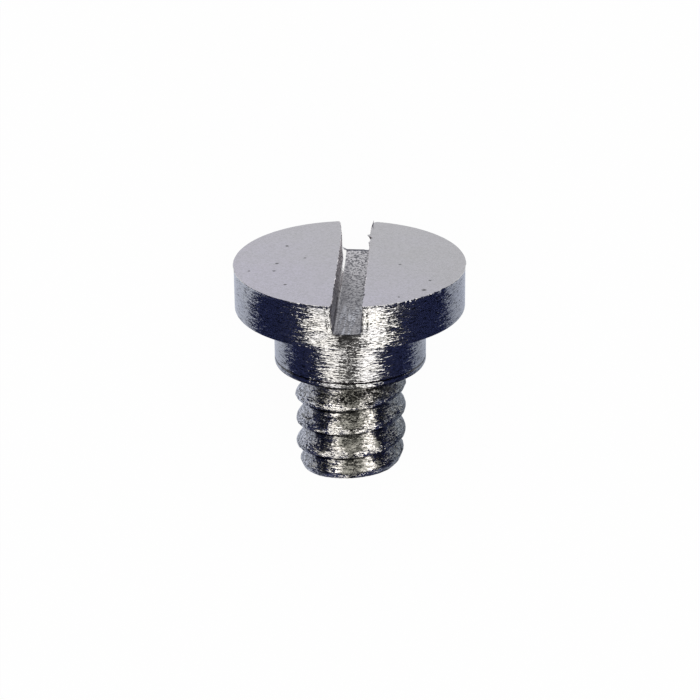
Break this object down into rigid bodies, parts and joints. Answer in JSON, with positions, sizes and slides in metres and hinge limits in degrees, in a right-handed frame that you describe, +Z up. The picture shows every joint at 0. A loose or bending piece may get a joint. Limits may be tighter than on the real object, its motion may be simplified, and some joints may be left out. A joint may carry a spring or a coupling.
{
  "type": "watch screw",
  "caption": "Tiny slotted cheese-head shoulder screw for a watch movement, with a plain shoulder and a fine right-hand thread to a flat end.",
  "frame": {"origin": "on the surface that the screw lies on, under the middle of its box", "axes": "+Z up, +Y level, in the direction that the head points; the screw lies on its side with its axis raised 20 degrees from +Y at the head; +X to the right of someone who looks along +Y"},
  "size_m": [0.002, 0.0022, 0.002],
  "materials": {
    "steel": "polished flat head, fine turned side and shoulder, rougher darker thread"
  },
  "bodies": {
    "root": {"screw": "steel"}
  },
  "joints": []
}
